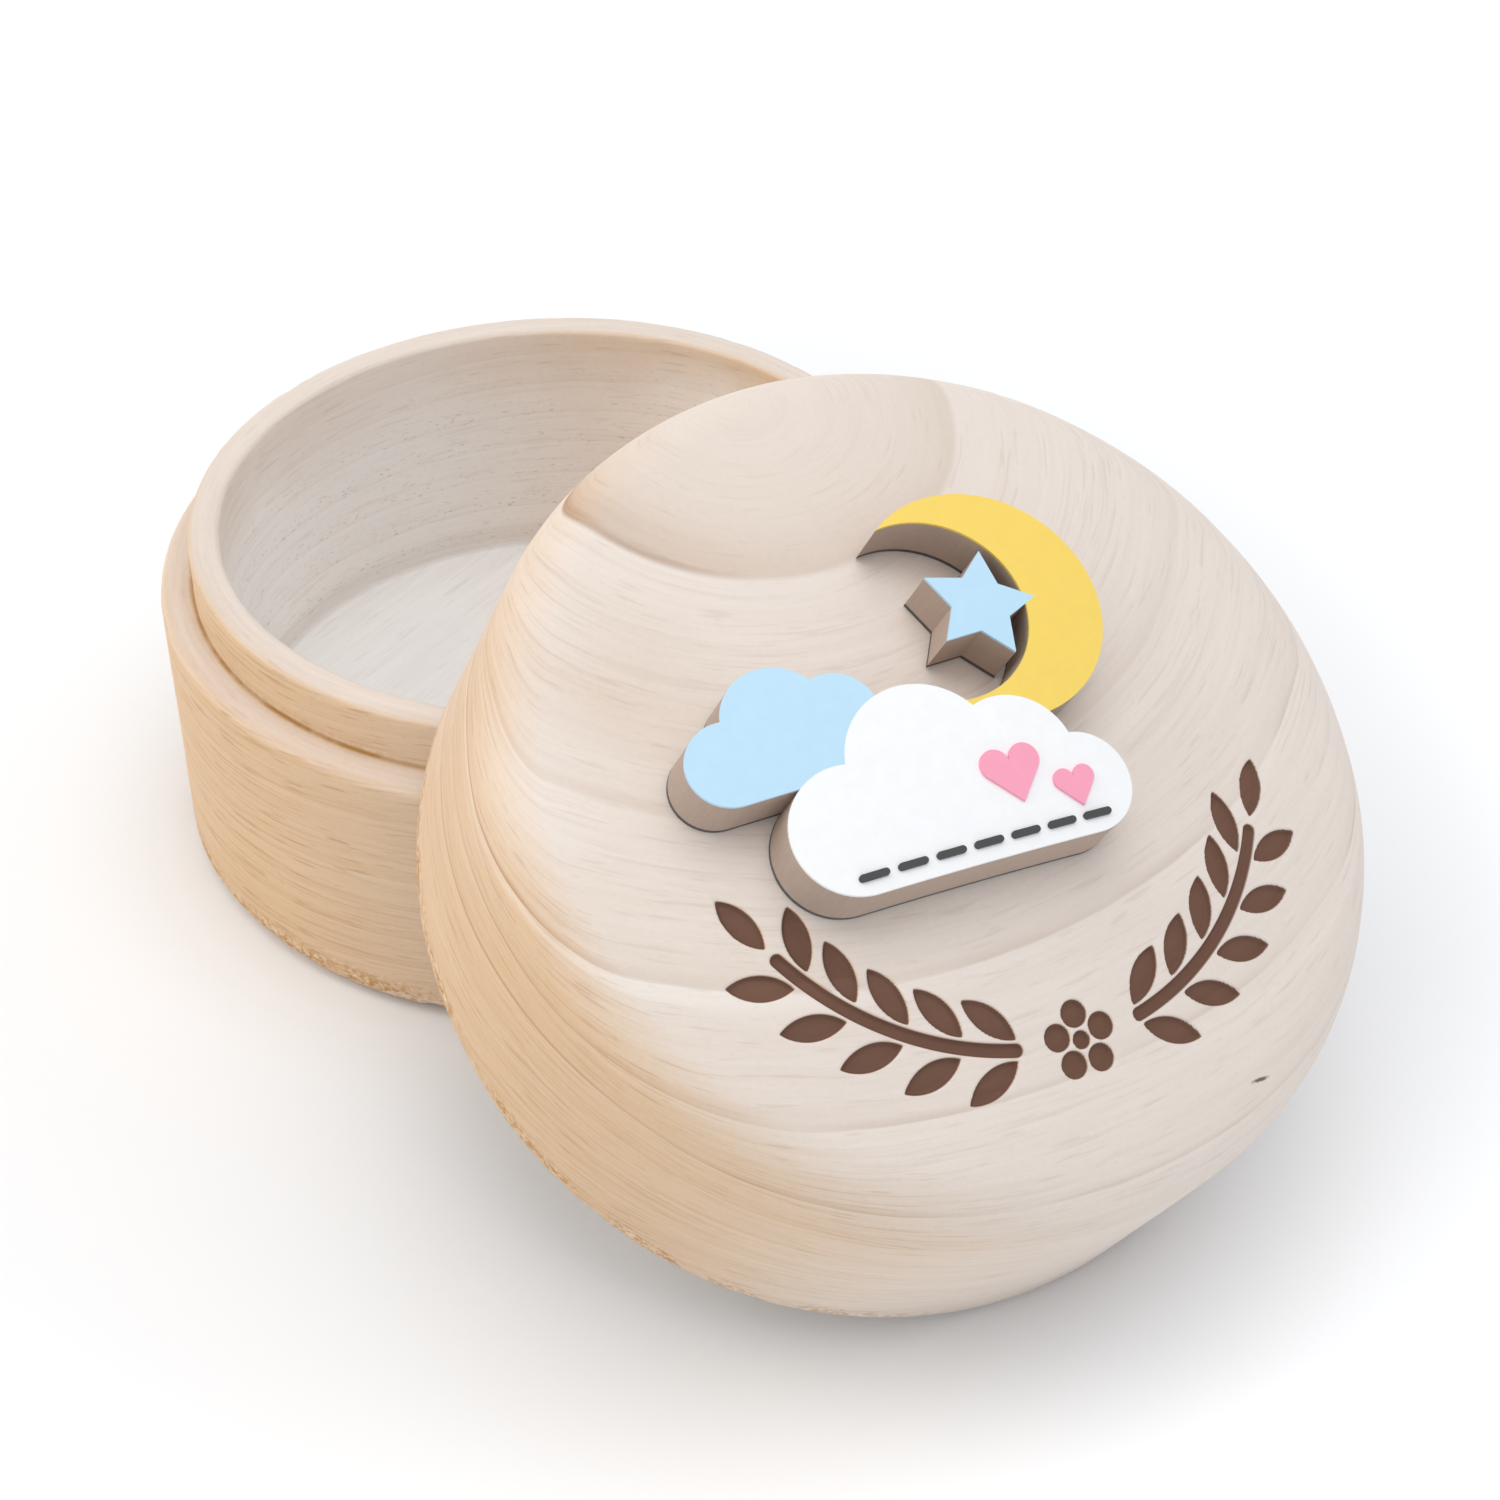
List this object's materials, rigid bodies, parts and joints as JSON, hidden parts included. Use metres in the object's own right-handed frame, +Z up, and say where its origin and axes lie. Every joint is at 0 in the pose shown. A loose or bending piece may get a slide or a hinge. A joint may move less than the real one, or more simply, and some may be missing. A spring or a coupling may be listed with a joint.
{
  "type": "baby tooth box",
  "caption": "Round turned wooden keepsake box for milk teeth with a stepped rim and a domed lid, taken off and leaning on it, that carries a cut-out cloud and moon plaque.",
  "frame": {"origin": "centre of the body's underside, on the table", "axes": "+Z up along the body's axis, +X the way the lid leans away from the body, +Y level across the lean"},
  "size_m": [0.102, 0.06, 0.0475],
  "materials": {
    "body_wood": "sanded, unvarnished",
    "lid_wood": "sanded, unvarnished, with a burnt-in sprig",
    "adhesive": "matt",
    "board": "cut fibreboard edge",
    "white_card": "matt",
    "blue_card": "matt",
    "yellow_card": "matt",
    "pink_card": "matt",
    "grey_card": "matt"
  },
  "bodies": {
    "box": {"box_body": "body_wood"},
    "lid": {"lid": "lid_wood", "plaque_adhesive": "adhesive", "plaque_board": "board", "front_cloud_facing": "white_card", "back_cloud_facing": "blue_card", "moon_facing": "yellow_card", "star_facing": "blue_card", "heart_facings": "pink_card", "stitch_facings": "grey_card"}
  },
  "joints": [
    {"name": "lid_swing", "type": "hinge", "parent": "box", "child": "lid", "pos_m": [-0.00161, 0, -0.04742], "axis": [0, -1, 0], "range_deg": [0, 30.81]}
  ]
}
